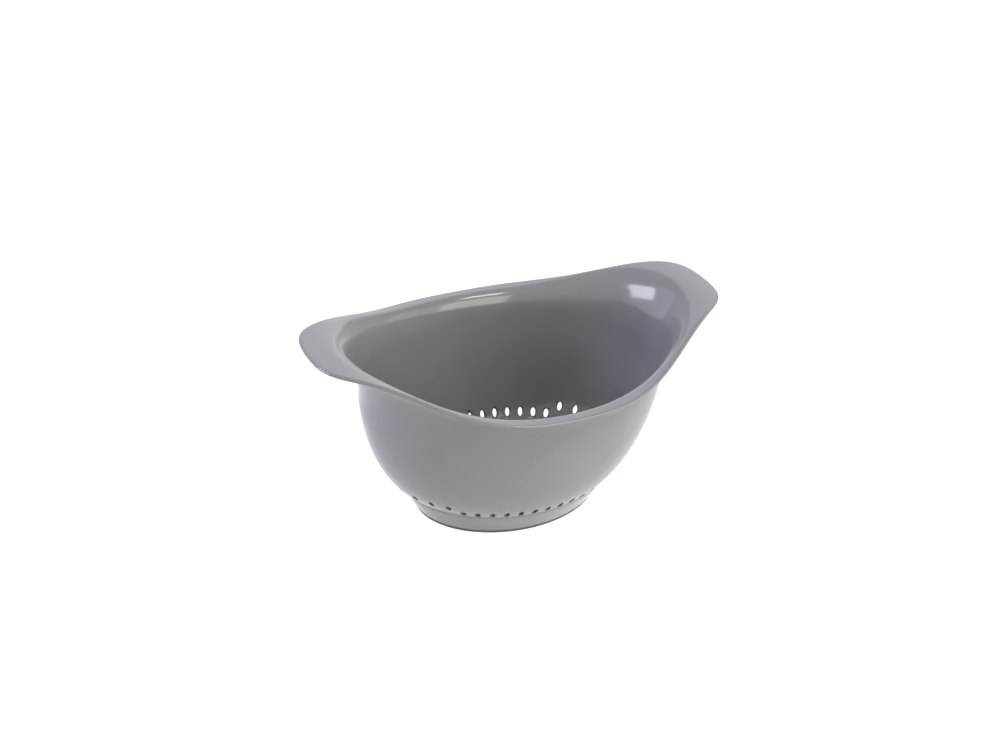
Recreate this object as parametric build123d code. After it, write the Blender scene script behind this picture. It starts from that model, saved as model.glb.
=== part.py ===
from build123d import *
import math
import os
from functools import cache

# Oval colander with a flared rim that rises into a lifting lobe at each end. The bowl is one
# moulding: floor, wall, rim, lobes and foot. A soft ring sits in a groove under the foot.
# X runs from lobe to lobe, Z is up, and the origin is the centre of the oval that the ring
# rests on. Lengths are in millimetres and angles in radians.

# Rim and lobes, over the whole object
rim_half_length = 145.0
rim_half_width = 88.3
lobe_height = 139.6
side_height = 112.2

# Roll between the wall's top and the rim's flat: how far it runs out and how far it rises, on the
# long sides and at the lobes, and how late it grows from the one to the other
side_roll_run = 6.1
side_roll_rise = 15.1
lobe_roll_run = 21.5
lobe_roll_rise = 42.9
late_growth_share = 4.06

# Bowl, measured outside its wall, where the wall turns into the rolled rim
bowl_half_length = 106.7
bowl_half_width = 76.6
floor_clearance = 4.8
floor_half_length = 33.0
wall = 2.4

# Fullness of the wall's curve along, across and up the bowl, lateness of the rim's rise, and pull
# points of a quarter of the rim's plan outline, from the middle of a long side to the tip
length_fullness_share = 0.489
width_fullness_share = 0.435
height_fullness_share = 1.249
late_rise_share = 2.605
outline_shares = ((0, 1), (0.384, 1), (0.552, 0.88), (0.822, 0.2), (1, 0.611), (1, 0))

# Foot, a short skirt with a small ledge above and a wide land below
foot_half_length = 66.2
foot_half_width = 48.1
foot_height = 19.3
foot_ledge = 0.3
foot_wall = 2.6
land_width = 5.8
land_height = 3.8

# Soft ring: a band under the land, and a tongue that fills the land's groove
ring_stand_out = 1.4
ring_inset = 0.2
ring_round = 0.4
tongue_inset = 1.1
tongue_width = 3.6
groove_depth = 2.4
groove_clearance = 0.05

# Drain slots in the wall: a low row on each long side and a raised row round each end
slot_width = 3.5
slot_length = 6.4
side_row_height = 23.3
side_row_pitch = 9.6
side_row_half_count = 6
end_row_height = 28.6
end_row_pitch = 11.9
end_row_half_count = 4

# Round drain holes in the floor: one in the middle and ovals round it
floor_hole_radius = 2.0
floor_row_spacing = 11.5
floor_hole_pitch = 10.0
floor_row_count = 4

# Modelling steps
overrun = 3.0
nudge = 0.001
bisections = 40
ring_points = 72
wall_rings = 12
rim_rings = 12
edge_rings = 8

full_turn = 2 * math.pi
half_turn = math.pi
quarter_turn = math.pi / 2
floor_turn = math.asin((floor_half_length / bowl_half_length) ** (1 / length_fullness_share))


def rim_height(x):
    """Height of the rim's top face at a distance x from the middle of the bowl."""
    reach = min(abs(x) / rim_half_length, 1)
    rise = reach**2 / (reach**2 + late_rise_share * (1 - reach) ** 2)
    return side_height + (lobe_height - side_height) * rise


def outline_point(t):
    """Point of the rim's plan outline, from the middle of a long side at 0 to the tip at 1."""
    points = [(x * rim_half_length, y * rim_half_width) for x, y in outline_shares]
    while len(points) > 1:
        pairs = zip(points, points[1:])
        points = [(a * (1 - t) + c * t, b * (1 - t) + d * t) for (a, b), (c, d) in pairs]
    return points[0]


def wall_top(angle):
    """Top of the outer wall in plan, and the direction square to it."""
    place = Vector(bowl_half_length * math.cos(angle), bowl_half_width * math.sin(angle))
    out = Vector(bowl_half_width * math.cos(angle), bowl_half_length * math.sin(angle))
    return place, out.normalized()


@cache
def rim_reach(angle):
    """Distance from the wall's top to the rim's edge, square to the wall in plan."""
    place, out = wall_top(angle)
    x, y, along, across = abs(place.X), abs(place.Y), abs(out.X), abs(out.Y)
    low, high = 0, 1
    for _ in range(bisections):
        middle = (low + high) / 2
        px, py = outline_point(middle)
        if (px - x) * across < (py - y) * along:
            low = middle
        else:
            high = middle
    return (px - x) * along + (py - y) * across


def roll_size(angle):
    """How far the roll runs out from the wall's top, and how far it rises."""
    growth = abs(math.cos(angle)) ** late_growth_share
    run = side_roll_run + (lobe_roll_run - side_roll_run) * growth
    rise = side_roll_rise + (lobe_roll_rise - side_roll_rise) * growth
    return min(run, rim_reach(angle) - wall / 2), rise


def wall_top_height(angle):
    """Height at which the outer wall starts to roll outwards."""
    place, out = wall_top(angle)
    run, rise = roll_size(angle)
    return rim_height((place + out * run / 2).X) - wall - rise


def wall_share(turn):
    """Share of the wall's height that is reached at a turn, from floor_turn to a quarter turn."""
    return 1 - (math.cos(turn) / math.cos(floor_turn)) ** height_fullness_share


def wall_point(turn, angle):
    """Point of the outer wall, from the floor's edge at floor_turn to its top at a quarter turn."""
    place, _ = wall_top(angle)
    x = place.X * math.sin(turn) ** length_fullness_share
    y = place.Y * math.sin(turn) ** width_fullness_share
    z = floor_clearance + (wall_top_height(angle) - floor_clearance) * wall_share(turn)
    return Vector(x, y, z)


def rim_point(share, angle):
    """Point of the rim's underside: a quarter of an oval roll, then flat to the rounded edge."""
    place, out = wall_top(angle)
    run, _ = roll_size(angle)
    roll_length = run * quarter_turn
    flat_length = rim_reach(angle) - wall / 2 - run
    passed = share * (roll_length + flat_length)
    turn = min(passed / run, quarter_turn)
    place += out * (run * (1 - math.cos(turn)) + max(passed - roll_length, 0))
    top = wall_top_height(angle)
    rise = (rim_height(place.X) - wall - top) * math.sin(turn)
    return Vector(place.X, place.Y, top + rise)


def skin_point(station, angle):
    """Point of the outer skin: the wall from station 0 to 1, the rim from 1 to 2."""
    if station <= 1:
        return wall_point(floor_turn + (quarter_turn - floor_turn) * station, angle)
    return rim_point(station - 1, angle)


def skin_directions(station, angle):
    """Outward normal of the outer skin, the way along it to the rim, and the way round it."""
    along = skin_point(station + nudge, angle) - skin_point(station - nudge, angle)
    around = skin_point(station, angle + nudge) - skin_point(station, angle - nudge)
    normal = around.cross(along) if station > 0 else Vector(0, 0, -1)
    return normal.normalized(), along.normalized(), around.normalized()


def inner_point(station, angle):
    """Point of the bowl's inner skin, a wall's thickness inside the outer one."""
    return skin_point(station, angle) - skin_directions(station, angle)[0] * wall


def edge_point(turn, angle):
    """Point of the rim's rounded edge, from the underside at 0 to the top at half a turn."""
    normal, along, _ = skin_directions(2, angle)
    centre = skin_point(2, angle) - normal * wall / 2
    return centre + (normal * math.cos(turn) + along * math.sin(turn)) * wall / 2


def station_at(height, angle):
    """Station at which the outer wall reaches a height."""
    share = (height - floor_clearance) / (wall_top_height(angle) - floor_clearance)
    turn = math.acos((1 - share) ** (1 / height_fullness_share) * math.cos(floor_turn))
    return (turn - floor_turn) / (quarter_turn - floor_turn)


def ring(point_at):
    """Closed smooth curve through the points that a rule gives round the bowl."""
    points = [point_at(full_turn * step / ring_points) for step in range(ring_points)]
    return Wire([Edge.make_spline(points, periodic=True, parameters=list(range(ring_points + 1)))])


def rings_between(low, high, count, point_at):
    """Rings at even steps from one place to another along a rule of place and angle."""
    places = [low + (high - low) * step / count for step in range(count + 1)]
    return [ring(lambda angle: point_at(place, angle)) for place in places]


def make_shell():
    """Bowl without foot or holes: smooth skins up the outside, over the edge and down the inside."""
    outer_wall = rings_between(0, 1, wall_rings, skin_point)
    outer_rim = rings_between(1, 2, rim_rings, skin_point)
    edge = rings_between(0, half_turn, edge_rings, edge_point)
    inner_rim = rings_between(2, 1, rim_rings, inner_point)
    inner_wall = rings_between(1, 0, wall_rings, inner_point)
    skins = [Shell.make_loft(rings) for rings in (outer_wall, outer_rim, edge, inner_rim, inner_wall)]
    faces = [face for skin in skins for face in skin.faces()]
    return Solid(Shell(faces + [Face(outer_wall[0]), Face(inner_wall[-1])]))


def foot_point(height, inset, angle):
    """Point inside the foot's sloping outer face by an inset, level with a height."""
    _, out = wall_top(angle)
    low = Vector(foot_half_length * math.cos(angle), foot_half_width * math.sin(angle), ring_stand_out)
    high = skin_point(station_at(foot_height, angle), angle) + out * foot_ledge
    slope = (high - low) * ((height - ring_stand_out) / (foot_height - ring_stand_out))
    return low + slope - out * inset


def foot_block(low, high, inset):
    """Solid oval block with the foot's slope, between two heights."""
    rings = [ring(lambda angle: foot_point(height, inset, angle)) for height in (low, high)]
    return Solid.make_loft(rings, ruled=True)


def oval_block(low, high, inset):
    """Solid oval block with upright sides, inside the foot's lower edge by an inset."""
    plan = ring(lambda angle: foot_point(ring_stand_out, inset, angle))
    return Solid.extrude(Face(plan.moved(Pos(0, 0, low - ring_stand_out))), Vector(0, 0, high - low))


def make_foot():
    """Skirt under the bowl, with a wide land at its lower edge and a groove in the land."""
    land_top = ring_stand_out + land_height
    groove_inset = tongue_inset - groove_clearance
    groove_width = tongue_width + 2 * groove_clearance
    groove_bottom, groove_top = ring_stand_out - overrun, ring_stand_out + groove_depth
    foot = foot_block(ring_stand_out, foot_height, 0)
    foot -= foot_block(land_top, foot_height + overrun, foot_wall)
    foot -= oval_block(ring_stand_out - overrun, land_top + overrun, land_width)
    groove = oval_block(groove_bottom, groove_top, groove_inset)
    groove -= oval_block(groove_bottom, groove_top, groove_inset + groove_width)
    return foot - groove


def row_angles(middle, height, pitch, half_count):
    """Angles of slots a pitch apart along the wall, counted out both ways from the middle."""
    steps, angle = [0], middle
    for _ in range(half_count):
        half_step = pitch / 2
        for _ in range(2):
            here = skin_point(station_at(height, angle), angle)
            there = skin_point(station_at(height, angle + nudge), angle + nudge)
            angle += half_step * nudge / (there - here).length
        steps.append(angle - middle)
    return [middle - step for step in reversed(steps[1:])] + [middle + step for step in steps]


def make_slot(height, angle):
    """Cutter for one upright oval slot, square to the wall."""
    station = station_at(height, angle)
    normal, _, around = skin_directions(station, angle)
    place = Plane(origin=skin_point(station, angle), x_dir=around, z_dir=normal)
    return extrude(place * Ellipse(slot_width / 2, slot_length / 2), wall + overrun, both=True)


def make_slots():
    """Cutters for the low rows on the long sides and the raised rows round the ends."""
    rows = [
        (quarter_turn, side_row_height, side_row_pitch, side_row_half_count),
        (0, end_row_height, end_row_pitch, end_row_half_count),
    ]
    slots = []
    for middle, height, pitch, half_count in rows:
        for side in (middle, middle + half_turn):
            angles = row_angles(side, height, pitch, half_count)
            slots += [make_slot(height, angle) for angle in angles]
    return slots


def make_floor_holes():
    """Cutters for the middle hole of the floor and the ovals of holes round it."""
    low = floor_clearance - overrun
    depth = wall + 2 * overrun + floor_row_spacing
    places = [Vector(0, 0, low)]
    for row in range(1, floor_row_count + 1):
        half_length = floor_row_spacing * row
        half_width = half_length * foot_half_width / foot_half_length
        oval = Edge.make_ellipse(half_length, half_width).moved(Pos(0, 0, low))
        count = round(oval.length / floor_hole_pitch / 2) * 2
        places += [oval.position_at(step / count) for step in range(count)]
    return [Pos(*place) * extrude(Circle(floor_hole_radius), depth) for place in places]


def make_bowl():
    """The whole moulding."""
    return make_shell() + make_foot() - make_slots() - make_floor_holes()


def make_ring():
    """Soft ring: its tongue fills the groove, and its band lies under the land and stands out below."""
    top = ring_stand_out + groove_depth
    band = oval_block(0, ring_stand_out, ring_inset)
    band -= oval_block(-overrun, ring_stand_out + overrun, land_width - ring_inset)
    tongue = oval_block(ring_stand_out / 2, top, tongue_inset)
    tongue -= oval_block(-overrun, top + overrun, tongue_inset + tongue_width)
    whole = band + tongue
    return fillet(whole.edges().group_by(Axis.Z)[0], ring_round)


nodes = {"bowl": make_bowl(), "non_slip_ring": make_ring()}
os.makedirs("parts", exist_ok=True)
for name, shape in nodes.items():
    export_step(shape, f"parts/{name}.step")
    print(name, len(shape.solids()), "solid", round(shape.volume), "mm3")
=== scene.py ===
from functools import cache
from math import acos, asin, cos, pi, radians, sin
import bpy
from mathutils import Matrix, Vector


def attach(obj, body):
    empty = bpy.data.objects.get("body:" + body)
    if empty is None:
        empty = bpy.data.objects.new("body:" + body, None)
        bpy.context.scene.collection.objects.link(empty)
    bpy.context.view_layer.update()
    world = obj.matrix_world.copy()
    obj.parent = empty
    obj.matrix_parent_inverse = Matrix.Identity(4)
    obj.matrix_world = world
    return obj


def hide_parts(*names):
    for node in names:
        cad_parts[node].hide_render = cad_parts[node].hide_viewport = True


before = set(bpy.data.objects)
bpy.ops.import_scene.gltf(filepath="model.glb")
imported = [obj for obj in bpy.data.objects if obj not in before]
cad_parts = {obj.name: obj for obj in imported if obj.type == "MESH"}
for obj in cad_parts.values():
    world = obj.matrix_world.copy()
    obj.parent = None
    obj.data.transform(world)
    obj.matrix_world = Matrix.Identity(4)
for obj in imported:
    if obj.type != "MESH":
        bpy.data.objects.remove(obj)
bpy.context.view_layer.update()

mm = 0.001
half_turn = pi
quarter_turn = pi / 2
up = Vector((0, 0, 1))

# The photograph's frame and the view of it, as fitted to the rim, the foot and the slots
image_width = 1000
image_height = 750
focal_pixels = 1396.46
image_centre_x = 510.398
image_centre_y = 416.347
view_turn = radians(29.747)
view_drop = radians(33.001)
view_roll = radians(4.476)
view_distance = 946.27 * mm
view_target = Vector((0, 0, 60 * mm))

# Rim, lobes and the roll that joins them to the wall
rim_half_length = 145.0 * mm
rim_half_width = 88.3 * mm
lobe_height = 139.6 * mm
side_height = 112.2 * mm
side_roll_run = 6.1 * mm
side_roll_rise = 15.1 * mm
lobe_roll_run = 21.5 * mm
lobe_roll_rise = 42.9 * mm
late_growth_share = 4.06
late_rise_share = 2.605
outline_shares = ((0, 1), (0.384, 1), (0.552, 0.88), (0.822, 0.2), (1, 0.611), (1, 0))

# Bowl, measured outside its wall
bowl_half_length = 106.7 * mm
bowl_half_width = 76.6 * mm
floor_clearance = 4.8 * mm
floor_half_length = 33.0 * mm
wall = 2.4 * mm
length_fullness_share = 0.489
width_fullness_share = 0.435
height_fullness_share = 1.249
floor_turn = asin((floor_half_length / bowl_half_length) ** (1 / length_fullness_share))

# Foot, its land and the groove that holds the soft ring
foot_half_length = 66.2 * mm
foot_half_width = 48.1 * mm
foot_height = 19.3 * mm
foot_ledge = 0.3 * mm
foot_wall = 2.6 * mm
land_width = 5.8 * mm
land_height = 3.8 * mm
ledge_slant = 0.5 * mm
ring_stand_out = 1.4 * mm
ring_inset = 0.2 * mm
ring_round = 0.4 * mm
tongue_inset = 1.1 * mm
tongue_width = 3.6 * mm
groove_depth = 2.4 * mm

# Drain slots and floor holes, with the small chamfer at both faces of the wall
slot_width = 3.5 * mm
slot_length = 6.4 * mm
hole_chamfer = 0.1 * mm
side_row_height = 23.3 * mm
side_row_pitch = 9.6 * mm
side_row_half_count = 6
end_row_height = 28.6 * mm
end_row_pitch = 11.9 * mm
end_row_half_count = 4
floor_hole_radius = 2.0 * mm
floor_row_spacing = 11.5 * mm
floor_hole_pitch = 10.0 * mm
floor_row_count = 4
cutter_overrun = 3.0 * mm

# Steps round the bowl, closer together at the tips, and up each stretch of its section
columns = 320
tip_crowding_share = 0.35
floor_steps = 10
wall_steps = 38
rim_steps = 26
edge_steps = 8
outer_wall_steps = 32
foot_steps = 8
skirt_steps = 4
under_steps = 14

# Steps of the cutters, the curves that place them and the soft ring
slot_plug_sides = 28
floor_plug_sides = 20
arc_points = 256
oval_points = 128
ring_points = 240
ring_round_steps = 4
skin_match_share = 0.75

# Step for a surface's directions, and halvings when a place is searched for
nudge = 0.001
bisections = 40

# White studio: how strongly paper and world glow where they are seen, how dim the world is as a
# light, and how far from the object the paper has turned fully white
lamp_distance = 1.5
floor_half_size = 3.0
paper_glow_near = 0.9
paper_glow_far = 1.0
paper_fade_start = 0.4
paper_fade_end = 1.2
world_seen_strength = 1.0
world_light_strength = 0.02


def linear(hex_colour):
    """Linear RGBA of an sRGB colour written as rrggbb."""
    channels = [int(hex_colour[i:i + 2], 16) / 255 for i in (0, 2, 4)]
    return [c / 12.92 if c <= 0.04045 else ((c + 0.055) / 1.055) ** 2.4 for c in channels] + [1]


def add(tree, kind, settings=None, **links):
    """Adds one node with its settings. A link's value is an output socket or a constant."""
    made = tree.nodes.new(kind)
    for name, value in (settings or {}).items():
        setattr(made, name, value)
    for name, value in links.items():
        key = int(name[1:]) if name[1:].isdigit() else name.replace("_", " ")
        socket = made.inputs[key]
        if isinstance(value, bpy.types.NodeSocket):
            tree.links.new(value, socket)
        else:
            socket.default_value = value
    return made


def new_object(name, mesh):
    """Object with its mesh or other data, linked to the scene."""
    made = bpy.data.objects.new(name, mesh)
    bpy.context.scene.collection.objects.link(made)
    return made


def rim_height(x):
    """Height of the rim's top face at a distance x from the middle of the bowl."""
    reach = min(abs(x) / rim_half_length, 1)
    rise = reach**2 / (reach**2 + late_rise_share * (1 - reach) ** 2)
    return side_height + (lobe_height - side_height) * rise


def outline_point(t):
    """Point of the rim's plan outline, from the middle of a long side at 0 to the tip at 1."""
    points = [(x * rim_half_length, y * rim_half_width) for x, y in outline_shares]
    while len(points) > 1:
        pairs = zip(points, points[1:])
        points = [(a * (1 - t) + c * t, b * (1 - t) + d * t) for (a, b), (c, d) in pairs]
    return points[0]


@cache
def wall_top(angle):
    """Top of the outer wall in plan, and the direction square to it."""
    place = Vector((bowl_half_length * cos(angle), bowl_half_width * sin(angle), 0))
    out = Vector((bowl_half_width * cos(angle), bowl_half_length * sin(angle), 0))
    return place, out.normalized()


@cache
def rim_reach(angle):
    """Distance from the wall's top to the rim's edge, square to the wall in plan."""
    place, out = wall_top(angle)
    x, y, along, across = abs(place.x), abs(place.y), abs(out.x), abs(out.y)
    low, high = 0, 1
    for _ in range(bisections):
        middle = (low + high) / 2
        px, py = outline_point(middle)
        if (px - x) * across < (py - y) * along:
            low = middle
        else:
            high = middle
    return (px - x) * along + (py - y) * across


@cache
def roll_size(angle):
    """How far the roll runs out from the wall's top, and the height at which it starts."""
    growth = abs(cos(angle)) ** late_growth_share
    run = side_roll_run + (lobe_roll_run - side_roll_run) * growth
    run = min(run, rim_reach(angle) - wall / 2)
    rise = side_roll_rise + (lobe_roll_rise - side_roll_rise) * growth
    place, out = wall_top(angle)
    return run, rim_height((place + out * run / 2).x) - wall - rise


def wall_point(turn, angle):
    """Point of the outer wall, from the floor's edge at floor_turn to its top at a quarter turn."""
    place, _ = wall_top(angle)
    share = 1 - (max(cos(turn), 0) / cos(floor_turn)) ** height_fullness_share
    z = floor_clearance + (roll_size(angle)[1] - floor_clearance) * share
    x = place.x * sin(turn) ** length_fullness_share
    y = place.y * sin(turn) ** width_fullness_share
    return Vector((x, y, z))


def rim_point(share, angle):
    """Point of the rim's underside: a quarter of an oval roll, then flat to the rounded edge."""
    place, out = wall_top(angle)
    run, top = roll_size(angle)
    roll_length = run * quarter_turn
    passed = share * (roll_length + rim_reach(angle) - wall / 2 - run)
    turn = min(passed / run, quarter_turn)
    place = place + out * (run * (1 - cos(turn)) + max(passed - roll_length, 0))
    return place + up * (top + (rim_height(place.x) - wall - top) * sin(turn))


def skin_point(station, angle):
    """Point of the outer skin: the wall from station 0 to 1, the rim from 1 to 2."""
    if station <= 1:
        return wall_point(floor_turn + (quarter_turn - floor_turn) * station, angle)
    return rim_point(station - 1, angle)


def skin_directions(station, angle):
    """Outward normal of the outer skin, and the way along it to the rim."""
    along = skin_point(station + nudge, angle) - skin_point(station - nudge, angle)
    around = skin_point(station, angle + nudge) - skin_point(station, angle - nudge)
    normal = around.cross(along) if station > 0 else -up
    return normal.normalized(), along.normalized()


def inner_point(station, angle):
    """Point of the bowl's inner skin, a wall's thickness inside the outer one."""
    return skin_point(station, angle) - skin_directions(station, angle)[0] * wall


def edge_point(turn, angle):
    """Point of the rim's rounded edge, from the underside at 0 to the top at half a turn."""
    normal, along = skin_directions(2, angle)
    centre = skin_point(2, angle) - normal * wall / 2
    return centre + (normal * cos(turn) + along * sin(turn)) * wall / 2


@cache
def ledge_station(angle):
    """Station at which the outer wall meets the foot's ledge."""
    share = (foot_height - floor_clearance) / (roll_size(angle)[1] - floor_clearance)
    turn = acos((1 - share) ** (1 / height_fullness_share) * cos(floor_turn))
    return (turn - floor_turn) / (quarter_turn - floor_turn)


def foot_point(height, inset, angle):
    """Point inside the foot's sloping outer face by an inset, level with a height."""
    _, out = wall_top(angle)
    low = Vector((foot_half_length * cos(angle), foot_half_width * sin(angle), ring_stand_out))
    high = skin_point(ledge_station(angle), angle) + out * foot_ledge
    return low + (high - low) * ((height - ring_stand_out) / (foot_height - ring_stand_out)) - out * inset


@cache
def skirt_station(angle):
    """Station at which the skirt's inner face meets the underside of the bowl."""
    _, out = wall_top(angle)
    low, high = 0, ledge_station(angle)
    for _ in range(bisections):
        middle = (low + high) / 2
        place = skin_point(middle, angle)
        if (place - foot_point(place.z, foot_wall, angle)).dot(out) < 0:
            low = middle
        else:
            high = middle
    return low


def steps(low, high, count):
    """Even steps from one value to another, without the last."""
    return [low + (high - low) * step / count for step in range(count)]


def profile(angle):
    """Closed section of the bowl at an angle, from the middle of its floor's top to that below."""
    middle = Vector((0, 0, floor_clearance))
    ledge = ledge_station(angle)
    skirt = skirt_station(angle)
    floor_edge = skin_point(0, angle)
    inner_floor_edge = inner_point(0, angle)
    points = [middle.lerp(floor_edge, share) + up * wall for share in steps(0.1, 1, floor_steps)]
    points[-1] = points[-1].lerp(inner_floor_edge, 0.5)
    points += [inner_point(station, angle) for station in steps(0, 1, wall_steps)]
    points += [inner_point(station, angle) for station in steps(1, 2, rim_steps)]
    points += [edge_point(turn, angle) for turn in steps(half_turn, 0, edge_steps)]
    points += [skin_point(station, angle) for station in steps(2, 1, rim_steps)]
    points += [skin_point(station, angle) for station in steps(1, ledge, outer_wall_steps)]
    points += [skin_point(ledge, angle)]
    slant_foot = foot_height - ledge_slant
    points += [foot_point(height, 0, angle) for height in steps(slant_foot, ring_stand_out, foot_steps)]
    points += [foot_point(ring_stand_out, 0, angle)]
    groove_inner = tongue_inset + tongue_width
    land_top = ring_stand_out + land_height
    points += [foot_point(ring_stand_out, tongue_inset, angle)]
    points += [foot_point(ring_stand_out, tongue_inset, angle) + up * groove_depth]
    points += [foot_point(ring_stand_out, groove_inner, angle) + up * groove_depth]
    points += [foot_point(ring_stand_out, groove_inner, angle)]
    points += [foot_point(ring_stand_out, land_width, angle)]
    points += [foot_point(ring_stand_out, land_width, angle) + up * land_height]
    high = skin_point(skirt, angle)
    points += [foot_point(height, foot_wall, angle) for height in steps(land_top, high.z, skirt_steps)]
    points += [skin_point(station, angle) for station in steps(skirt, 0, under_steps)]
    points += [floor_edge.lerp(middle, share) for share in steps(0, 1, floor_steps)]
    return points


def bowl_skin(material):
    """Closed shell of the bowl, foot and rim, before it is pierced."""
    turns = steps(0, 2 * half_turn, columns)
    sections = [profile(turn - tip_crowding_share * sin(2 * turn) / 2) for turn in turns]
    rings = len(sections[0])
    vertices = [point for section in sections for point in section]
    faces = []
    for column in range(columns):
        here, there = column * rings, (column + 1) % columns * rings
        faces += [(here + r, here + r + 1, there + r + 1, there + r) for r in range(rings - 1)]
    poles = (len(vertices), len(vertices) + 1)
    vertices += [Vector((0, 0, floor_clearance + wall)), Vector((0, 0, floor_clearance))]
    for column in range(columns):
        here, there = column * rings, (column + 1) % columns * rings
        faces += [(poles[0], here, there), (there + rings - 1, here + rings - 1, poles[1])]
    mesh = bpy.data.meshes.new("bowl_skin")
    mesh.from_pydata(vertices, [], faces)
    mesh.shade_smooth()
    mesh.materials.append(material)
    return new_object("moulded_bowl", mesh)


def plug(name, half_width, half_length, sides, material):
    """Oval plug that cuts a hole through the wall and chamfers its edges. The wall's outer face is at 0."""
    stops = ((cutter_overrun, hole_chamfer), (0, hole_chamfer), (-hole_chamfer, 0),
             (hole_chamfer - wall, 0), (-wall, hole_chamfer), (-wall - cutter_overrun, hole_chamfer))
    vertices, faces = [], []
    for height, growth in stops:
        for turn in steps(0, 2 * half_turn, sides):
            x, y = (half_width + growth) * cos(turn), (half_length + growth) * sin(turn)
            vertices.append((x, y, height))
    for ring in range(len(stops) - 1):
        for side in range(sides):
            here, there = ring * sides + side, ring * sides + (side + 1) % sides
            faces.append((here, here + sides, there + sides, there))
    faces += [tuple(range(sides)), tuple(reversed(range(len(vertices) - sides, len(vertices))))]
    mesh = bpy.data.meshes.new(name)
    mesh.from_pydata(vertices, [], faces)
    mesh.materials.append(material)
    return new_object(name, mesh)


def new_tree(name, values):
    """Geometry tree with a mesh going in and out, and one named input for each value."""
    tree = bpy.data.node_groups.new(name, "GeometryNodeTree")
    kinds = {int: "NodeSocketInt", float: "NodeSocketFloat", bpy.types.Object: "NodeSocketObject",
             bpy.types.Material: "NodeSocketMaterial"}
    tree.interface.new_socket("Mesh", in_out="OUTPUT", socket_type="NodeSocketGeometry")
    tree.interface.new_socket("Mesh", in_out="INPUT", socket_type="NodeSocketGeometry")
    for label, value in values.items():
        tree.interface.new_socket(label, in_out="INPUT", socket_type=kinds[type(value)])
    return tree, add(tree, "NodeGroupInput").outputs


def grow(piece, tree, values):
    """Runs a geometry tree on a piece with its values, and keeps the result as a plain mesh."""
    modifier = piece.modifiers.new(tree.name, "NODES")
    modifier.node_group = tree
    for socket in tree.interface.items_tree:
        if socket.in_out == "INPUT" and socket.name in values:
            modifier[socket.identifier] = values[socket.name]
    evaluated = piece.evaluated_get(bpy.context.evaluated_depsgraph_get())
    mesh = bpy.data.meshes.new_from_object(evaluated)
    piece.modifiers.remove(modifier)
    piece.data = mesh


def slot_row(tree, given, row, middle):
    """Plugs for one row of slots: a level arc is cast inwards on to the wall, and they stand along it."""
    arc = add(tree, "GeometryNodeCurveArc", {"mode": "RADIUS"}, Resolution=arc_points, Radius=1.0,
              Start_Angle=middle - quarter_turn, Sweep_Angle=half_turn)
    level = add(tree, "ShaderNodeCombineXYZ", Z=given[row + " row height"])
    arc = add(tree, "GeometryNodeTransform", Geometry=arc.outputs[0], Translation=level.outputs[0])
    place = add(tree, "GeometryNodeInputPosition").outputs[0]
    inwards = add(tree, "ShaderNodeVectorMath", {"operation": "MULTIPLY"}, _0=place, _1=(-1, -1, 0))
    cast = add(tree, "GeometryNodeRaycast", Target_Geometry=given["Mesh"], Source_Position=place,
               Ray_Direction=inwards.outputs[0])
    line = add(tree, "GeometryNodeSetPosition", Geometry=arc.outputs[0],
               Position=cast.outputs["Hit Position"])
    count = add(tree, "ShaderNodeMath", {"operation": "MULTIPLY_ADD"}, _0=given[row + " row half count"],
                _1=2, _2=1)
    points = add(tree, "GeometryNodePoints", Count=count.outputs[0])
    index = add(tree, "GeometryNodeInputIndex").outputs[0]
    place_in_row = add(tree, "ShaderNodeMath", {"operation": "SUBTRACT"}, _0=index,
                       _1=given[row + " row half count"])
    length = add(tree, "GeometryNodeCurveLength", Curve=line.outputs[0])
    half = add(tree, "ShaderNodeMath", {"operation": "MULTIPLY"}, _0=length.outputs[0], _1=0.5)
    way = add(tree, "ShaderNodeMath", {"operation": "MULTIPLY_ADD"}, _0=place_in_row.outputs[0],
              _1=given[row + " row pitch"], _2=half.outputs[0])
    on_line = add(tree, "GeometryNodeSampleCurve", {"mode": "LENGTH"}, Curves=line.outputs[0],
                  Length=way.outputs[0])
    placed = add(tree, "GeometryNodeSetPosition", Geometry=points.outputs[0],
                 Position=on_line.outputs["Position"])
    return stand_plugs(tree, given, placed.outputs[0], given["Slot plug"], on_line.outputs["Tangent"])


def stand_plugs(tree, given, points, cutter, tangent):
    """Plugs at points of the wall, square to it, with their width along the tangent."""
    normal = add(tree, "GeometryNodeInputNormal").outputs[0]
    square = add(tree, "GeometryNodeSampleNearestSurface", {"data_type": "FLOAT_VECTOR"}, Mesh=given["Mesh"],
                 Value=normal)
    facing = add(tree, "FunctionNodeAlignRotationToVector", {"axis": "Z"}, Vector=square.outputs[0])
    turned = add(tree, "FunctionNodeAlignRotationToVector", {"axis": "X", "pivot_axis": "Z"},
                 Rotation=facing.outputs[0], Vector=tangent)
    shape = add(tree, "GeometryNodeObjectInfo", {"transform_space": "ORIGINAL"}, Object=cutter,
                As_Instance=True)
    return add(tree, "GeometryNodeInstanceOnPoints", Points=points, Instance=shape.outputs["Geometry"],
               Rotation=turned.outputs[0]).outputs[0]


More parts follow.
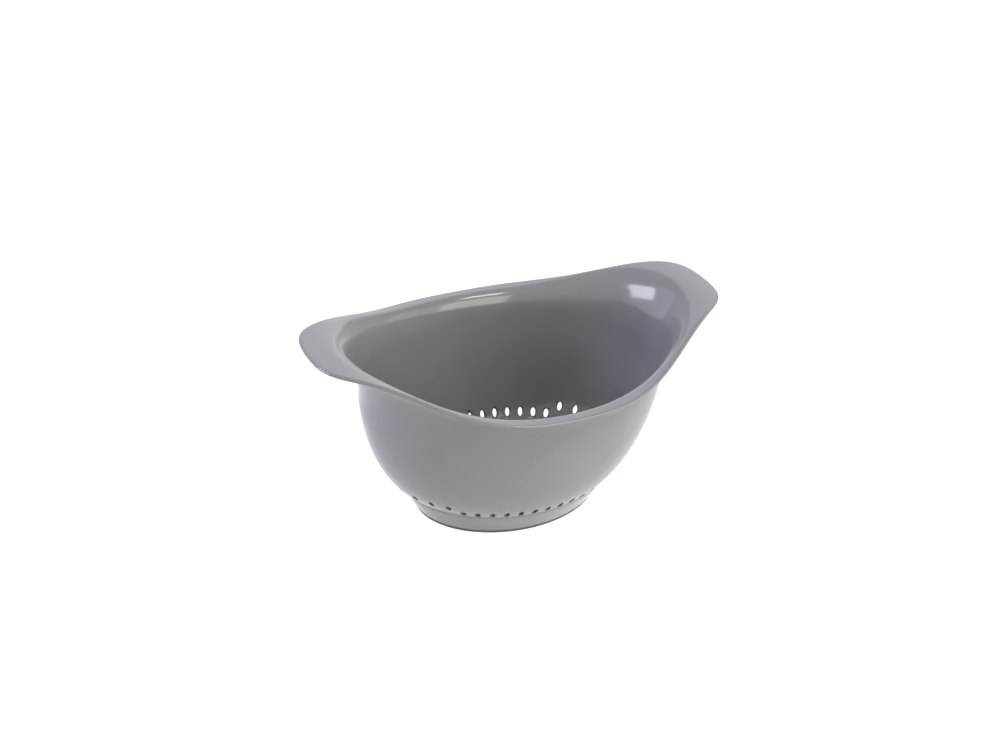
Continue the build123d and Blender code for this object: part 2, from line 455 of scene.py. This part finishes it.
def floor_row(tree, given, row):
    """Plugs for one oval of floor holes, evenly spaced at about the pitch."""
    reach = add(tree, "ShaderNodeMath", {"operation": "MULTIPLY"}, _0=given["Floor row spacing"], _1=row)
    across = add(tree, "ShaderNodeMath", {"operation": "MULTIPLY"}, _0=reach.outputs[0],
                 _1=given["Floor width share"])
    size = add(tree, "ShaderNodeCombineXYZ", X=reach.outputs[0], Y=across.outputs[0], Z=1.0)
    level = add(tree, "ShaderNodeCombineXYZ", Z=given["Floor clearance"])
    circle = add(tree, "GeometryNodeCurvePrimitiveCircle", Resolution=oval_points, Radius=1.0)
    oval = add(tree, "GeometryNodeTransform", Geometry=circle.outputs[0], Translation=level.outputs[0],
               Scale=size.outputs[0])
    length = add(tree, "GeometryNodeCurveLength", Curve=oval.outputs[0])
    double_pitch = add(tree, "ShaderNodeMath", {"operation": "MULTIPLY"}, _0=given["Floor hole pitch"], _1=2)
    pairs = add(tree, "ShaderNodeMath", {"operation": "DIVIDE"}, _0=length.outputs[0],
                _1=double_pitch.outputs[0])
    pairs = add(tree, "ShaderNodeMath", {"operation": "ROUND"}, _0=pairs.outputs[0])
    count = add(tree, "ShaderNodeMath", {"operation": "MULTIPLY"}, _0=pairs.outputs[0], _1=2)
    points = add(tree, "GeometryNodeCurveToPoints", {"mode": "COUNT"}, Curve=oval.outputs[0],
                 Count=count.outputs[0])
    return stand_plugs(tree, given, points.outputs[0], given["Floor plug"], (1, 0, 0))


def pierced_tree(values):
    """Cuts the rows of slots and the floor's ovals of holes, and keeps the skin's smooth shading."""
    tree, given = new_tree("pierced_bowl", values)
    plugs = add(tree, "GeometryNodeJoinGeometry")
    for row, middle in (("Side", quarter_turn), ("End", 0)):
        for side in (0, half_turn):
            tree.links.new(slot_row(tree, given, row, middle + side), plugs.inputs[0])
    centre = add(tree, "GeometryNodePoints", Count=1)
    level = add(tree, "ShaderNodeCombineXYZ", Z=given["Floor clearance"])
    centre = add(tree, "GeometryNodeSetPosition", Geometry=centre.outputs[0], Position=level.outputs[0])
    centre_plug = stand_plugs(tree, given, centre.outputs[0], given["Floor plug"], (1, 0, 0))
    tree.links.new(centre_plug, plugs.inputs[0])
    for row in range(1, floor_row_count + 1):
        tree.links.new(floor_row(tree, given, row), plugs.inputs[0])
    solid = add(tree, "GeometryNodeRealizeInstances", Geometry=plugs.outputs[0])
    cut = add(tree, "GeometryNodeMeshBoolean", {"operation": "DIFFERENCE", "solver": "MANIFOLD"},
              Mesh_1=given["Mesh"], Mesh_2=solid.outputs[0])
    smooth = add(tree, "GeometryNodeSetShadeSmooth", Geometry=cut.outputs[0])
    normal = add(tree, "GeometryNodeInputNormal").outputs[0]
    skin = add(tree, "GeometryNodeSampleNearestSurface", {"data_type": "FLOAT_VECTOR"}, Mesh=given["Mesh"],
               Value=normal)
    flat = add(tree, "GeometryNodeFieldOnDomain", {"data_type": "FLOAT_VECTOR", "domain": "FACE"},
               Value=normal)
    match = add(tree, "ShaderNodeVectorMath", {"operation": "DOT_PRODUCT"}, _0=skin.outputs[0],
                _1=flat.outputs[0])
    on_skin = add(tree, "FunctionNodeCompare", {"operation": "GREATER_THAN"}, _0=match.outputs["Value"],
                  _1=skin_match_share)
    chosen = add(tree, "GeometryNodeSwitch", {"input_type": "VECTOR"}, _0=on_skin.outputs[0],
                 _1=flat.outputs[0], _2=skin.outputs[0])
    shaded = add(tree, "GeometryNodeSetMeshNormal", {"mode": "FREE", "domain": "CORNER"},
                 Mesh=smooth.outputs[0], Custom_Normal=chosen.outputs[0])
    real = add(tree, "GeometryNodeRealizeInstances", Geometry=shaded.outputs[0])
    dressed = add(tree, "GeometryNodeSetMaterial", Geometry=real.outputs[0], Material=given["Material"])
    add(tree, "NodeGroupOutput", Mesh=dressed.outputs[0])
    return tree


def make_bowl(material):
    """The moulded bowl in one piece, pierced by its slots and floor holes."""
    piece = bowl_skin(material)
    slot_plug = plug("slot_plug", slot_width / 2, slot_length / 2, slot_plug_sides, material)
    floor_plug = plug("floor_plug", floor_hole_radius, floor_hole_radius, floor_plug_sides, material)
    values = {
        "Side row height": side_row_height, "Side row pitch": side_row_pitch,
        "Side row half count": side_row_half_count, "End row height": end_row_height,
        "End row pitch": end_row_pitch, "End row half count": end_row_half_count,
        "Floor clearance": floor_clearance, "Floor row spacing": floor_row_spacing,
        "Floor hole pitch": floor_hole_pitch, "Floor width share": foot_half_width / foot_half_length,
        "Slot plug": slot_plug, "Floor plug": floor_plug, "Material": material,
    }
    grow(piece, pierced_tree(values), values)
    for used in (slot_plug, floor_plug):
        bpy.data.objects.remove(used)
    finish_piece(piece, "bowl")


def ring_section():
    """Outline of the soft ring's section: distance inside the foot's lower edge, and height."""
    outer, inner = ring_inset, land_width - ring_inset
    top = ring_stand_out + groove_depth
    points = [(tongue_inset, top), (tongue_inset, ring_stand_out), (outer, ring_stand_out)]
    for corner, side in ((outer + ring_round, -1), (inner - ring_round, 1)):
        turns = steps(0, quarter_turn, ring_round_steps) + [quarter_turn]
        arc = [(corner + side * ring_round * cos(t), ring_round * (1 - sin(t))) for t in turns]
        points += arc if side < 0 else reversed(arc)
    points += [(inner, ring_stand_out), (tongue_inset + tongue_width, ring_stand_out)]
    points += [(tongue_inset + tongue_width, top)]
    mesh = bpy.data.meshes.new("ring_section")
    count = len(points)
    mesh.from_pydata([(-x, -y, 0) for x, y in points], [(i, (i + 1) % count) for i in range(count)], [])
    return new_object("ring_section", mesh)


def ring_tree(values):
    """Section swept round the oval of the foot's lower edge."""
    tree, given = new_tree("soft_ring", values)
    size = add(tree, "ShaderNodeCombineXYZ", X=given["Half length"], Y=given["Half width"], Z=1.0)
    circle = add(tree, "GeometryNodeCurvePrimitiveCircle", Resolution=ring_points, Radius=1.0)
    oval = add(tree, "GeometryNodeTransform", Geometry=circle.outputs[0], Scale=size.outputs[0])
    upright = add(tree, "GeometryNodeSetCurveNormal", {"mode": "Z_UP"}, Curve=oval.outputs[0])
    shape = add(tree, "GeometryNodeObjectInfo", {"transform_space": "ORIGINAL"}, Object=given["Section"])
    section = add(tree, "GeometryNodeMeshToCurve", Mesh=shape.outputs["Geometry"])
    band = add(tree, "GeometryNodeCurveToMesh", Curve=upright.outputs[0], Profile_Curve=section.outputs[0])
    smooth = add(tree, "GeometryNodeSetShadeSmooth", Geometry=band.outputs[0])
    real = add(tree, "GeometryNodeRealizeInstances", Geometry=smooth.outputs[0])
    dressed = add(tree, "GeometryNodeSetMaterial", Geometry=real.outputs[0], Material=given["Material"])
    add(tree, "NodeGroupOutput", Mesh=dressed.outputs[0])
    return tree


def make_ring(material):
    """The soft ring that sits in the foot's groove and stands out below it."""
    piece = new_object("non_slip_band", bpy.data.meshes.new("non_slip_band"))
    section = ring_section()
    values = {"Half length": foot_half_length, "Half width": foot_half_width, "Section": section,
              "Material": material}
    grow(piece, ring_tree(values), values)
    bpy.data.objects.remove(section)
    finish_piece(piece, "non_slip_ring")


def finish_piece(piece, node):
    """Says which body a piece rides on, and hides the solid that it dresses."""
    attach(piece, "root")
    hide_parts(node)


def new_material(name):
    """Empty material, and its node tree."""
    material = bpy.data.materials.new(name)
    material.use_nodes = True
    material.node_tree.nodes.clear()
    return material, material.node_tree


def surface_noise(tree, place, size, detail, low, high):
    """Noise of a real size in millimetres, spread between two values."""
    noise = add(tree, "ShaderNodeTexNoise", Vector=place, Scale=1 / (size * mm), Detail=detail)
    return add(tree, "ShaderNodeMapRange", Value=noise.outputs["Fac"], From_Min=0.3, From_Max=0.7,
               To_Min=low, To_Max=high).outputs[0]


def relief(tree, height, depth, strength, under=None):
    """Bump of a real depth in millimetres, on top of another one."""
    links = {"Normal": under} if under else {}
    return add(tree, "ShaderNodeBump", Height=height, Distance=depth * mm, Strength=strength,
               **links).outputs[0]


def moulded_plastic():
    """Glossy injection-moulded ABS. Its flow leaves a faint mottling, its cooling a slow waviness that
    bends the highlights, and use leaves fine scratches that roughen the gloss in patches."""
    material, tree = new_material("glossy_moulded_abs")
    place = add(tree, "ShaderNodeTexCoord").outputs["Object"]
    flow = surface_noise(tree, place, 40, 2.0, 0.0, 1.0)
    tint = add(tree, "ShaderNodeMix", {"data_type": "RGBA"}, _0=flow,
               _6=linear("8F8D90"), _7=linear("939295"))
    patches = surface_noise(tree, place, 18, 3.0, 0.1, 0.14)
    # A real scratch is about 0.05 mm wide, too fine to show, so these are drawn ten times as wide
    drawn_out = add(tree, "ShaderNodeVectorMath", {"operation": "MULTIPLY"}, _0=place, _1=(0.08, 1, 1))
    scratches = surface_noise(tree, drawn_out.outputs[0], 0.5, 2.0, -0.015, 0.02)
    gloss = add(tree, "ShaderNodeMath", {"operation": "ADD"}, _0=patches, _1=scratches)
    waviness = relief(tree, surface_noise(tree, place, 22, 1.0, 0.0, 1.0), 0.08, 0.5)
    peel = relief(tree, surface_noise(tree, place, 0.9, 2.0, 0.0, 1.0), 0.01, 0.25, waviness)
    shader = add(tree, "ShaderNodeBsdfPrincipled", Base_Color=tint.outputs[2], Roughness=gloss.outputs[0],
                 IOR=1.52, Normal=peel)
    add(tree, "ShaderNodeOutputMaterial", Surface=shader.outputs["BSDF"])
    return material


def soft_rubber():
    """Soft moulded rubber. The spark-eroded mould leaves a fine grain that scatters the light, so the
    ring looks matt and a little darker than the bowl."""
    material, tree = new_material("soft_moulded_rubber")
    place = add(tree, "ShaderNodeTexCoord").outputs["Object"]
    bloom = surface_noise(tree, place, 12, 2.0, 0.0, 1.0)
    tint = add(tree, "ShaderNodeMix", {"data_type": "RGBA"}, _0=bloom,
               _6=linear("646466"), _7=linear("6D6D6F"))
    rough = surface_noise(tree, place, 5, 2.0, 0.52, 0.68)
    # Real grain is about 0.05 mm, too fine to show, so it is drawn at 0.3 mm
    grain = relief(tree, surface_noise(tree, place, 0.3, 2.0, 0.0, 1.0), 0.05, 0.5)
    shader = add(tree, "ShaderNodeBsdfPrincipled", Base_Color=tint.outputs[2], Roughness=rough,
                 IOR=1.5, Normal=grain)
    add(tree, "ShaderNodeOutputMaterial", Surface=shader.outputs["BSDF"])
    return material


def seen_directly(tree):
    """One where a camera, glossy or transmission ray looks, zero elsewhere."""
    path = add(tree, "ShaderNodeLightPath").outputs
    seen = add(tree, "ShaderNodeMath", {"operation": "ADD"}, _0=path["Is Camera Ray"],
               _1=path["Is Glossy Ray"])
    seen = add(tree, "ShaderNodeMath", {"operation": "ADD", "use_clamp": True}, _0=seen.outputs[0],
               _1=path["Is Transmission Ray"])
    return seen.outputs[0]


def paper_floor():
    """Matt white paper. Seen from above it glows to white and keeps a faint shadow; from below it
    is clear."""
    material, tree = new_material("matt_white_paper")
    seen = seen_directly(tree)
    bounce = add(tree, "ShaderNodeBsdfDiffuse", Color=linear("F2F2F2"))
    shade = add(tree, "ShaderNodeBsdfDiffuse", Color=linear("B0B0B0"))
    place = add(tree, "ShaderNodeTexCoord").outputs["Object"]
    distance = add(tree, "ShaderNodeVectorMath", {"operation": "LENGTH"}, _0=place)
    strength = add(tree, "ShaderNodeMapRange", Value=distance.outputs["Value"],
                   From_Min=paper_fade_start, From_Max=paper_fade_end,
                   To_Min=paper_glow_near, To_Max=paper_glow_far)
    glow = add(tree, "ShaderNodeEmission", Color=(1, 1, 1, 1), Strength=strength.outputs[0])
    lit = add(tree, "ShaderNodeAddShader", _0=shade.outputs[0], _1=glow.outputs[0])
    mixed = add(tree, "ShaderNodeMixShader", _0=seen, _1=bounce.outputs[0], _2=lit.outputs[0])
    below = add(tree, "ShaderNodeNewGeometry").outputs["Backfacing"]
    clear = add(tree, "ShaderNodeBsdfTransparent")
    shown = add(tree, "ShaderNodeMixShader", _0=below, _1=mixed.outputs[0], _2=clear.outputs[0])
    add(tree, "ShaderNodeOutputMaterial", Surface=shown.outputs[0])
    return material


def make_floor():
    """Flat sheet of paper under the object."""
    half = floor_half_size
    mesh = bpy.data.meshes.new("floor")
    corners = [(-half, -half, 0), (half, -half, 0), (half, half, 0), (-half, half, 0)]
    mesh.from_pydata(corners, [], [(0, 1, 2, 3)])
    mesh.materials.append(paper_floor())
    new_object("floor", mesh)


def make_world():
    """White surroundings that are seen and mirrored, but hardly light the object."""
    world = bpy.data.worlds.new("white_studio")
    world.use_nodes = True
    bpy.context.scene.world = world
    tree = world.node_tree
    tree.nodes.clear()
    ambient = add(tree, "ShaderNodeBackground", Color=(1, 1, 1, 1), Strength=world_light_strength)
    white = add(tree, "ShaderNodeBackground", Color=(1, 1, 1, 1), Strength=world_seen_strength)
    mixed = add(tree, "ShaderNodeMixShader", _0=seen_directly(tree), _1=ambient.outputs[0],
                _2=white.outputs[0])
    add(tree, "ShaderNodeOutputWorld", Surface=mixed.outputs[0])


def make_lamp(name, direction, width, height, watts, colour):
    """Softbox that stands off in a direction and faces the object. Its size is in metres."""
    light = bpy.data.lights.new(name, "AREA")
    light.shape = "RECTANGLE"
    light.size = width
    light.size_y = height
    light.energy = watts
    light.color = linear(colour)[:3]
    lamp = new_object(name, light)
    lamp.location = view_target + Vector(direction).normalized() * lamp_distance
    lamp.rotation_mode = "QUATERNION"
    lamp.rotation_quaternion = Vector(direction).to_track_quat("Z", "Y")


def make_camera():
    """Camera that takes the photograph's view."""
    camera = new_object("photo_view", bpy.data.cameras.new("photo_view"))
    camera.data.sensor_fit = "HORIZONTAL"
    camera.data.lens = camera.data.sensor_width * focal_pixels / image_width
    camera.data.shift_x = (image_width / 2 - image_centre_x) / image_width
    camera.data.shift_y = (image_centre_y - image_height / 2) / image_width
    facing = Matrix.Rotation(-view_turn, 4, "Z") @ Matrix.Rotation(radians(90) - view_drop, 4, "X")
    facing = facing @ Matrix.Rotation(view_roll, 4, "Z")
    stand_off = Matrix.Translation((0, 0, view_distance))
    camera.matrix_world = Matrix.Translation(view_target) @ facing @ stand_off
    bpy.context.scene.camera = camera


make_bowl(moulded_plastic())
make_ring(soft_rubber())
make_floor()
make_world()
make_lamp("front_softbox", (0.27, -0.47, 0.84), 0.5, 0.28, 6.0, "FFF8F4")
make_lamp("back_left_softbox", (-0.83, 0.25, 0.45), 0.8, 0.5, 11.0, "F2EEFF")
make_lamp("left_panel", (-0.87, 0.50, 0.25), 1.9, 1.5, 9.8, "EAE4FF")
make_lamp("right_panel", (0.87, -0.50, 0.35), 1.2, 1.2, 4.9, "F4F2FF")
make_lamp("front_right_panel", (0.35, -0.90, 0.35), 1.0, 1.0, 11.8, "FFFFF4")
make_lamp("back_panel", (0.42, 0.73, 0.45), 1.2, 1.2, 5.2, "F0EEFF")
make_camera()
bpy.context.scene.view_settings.view_transform = "Standard"
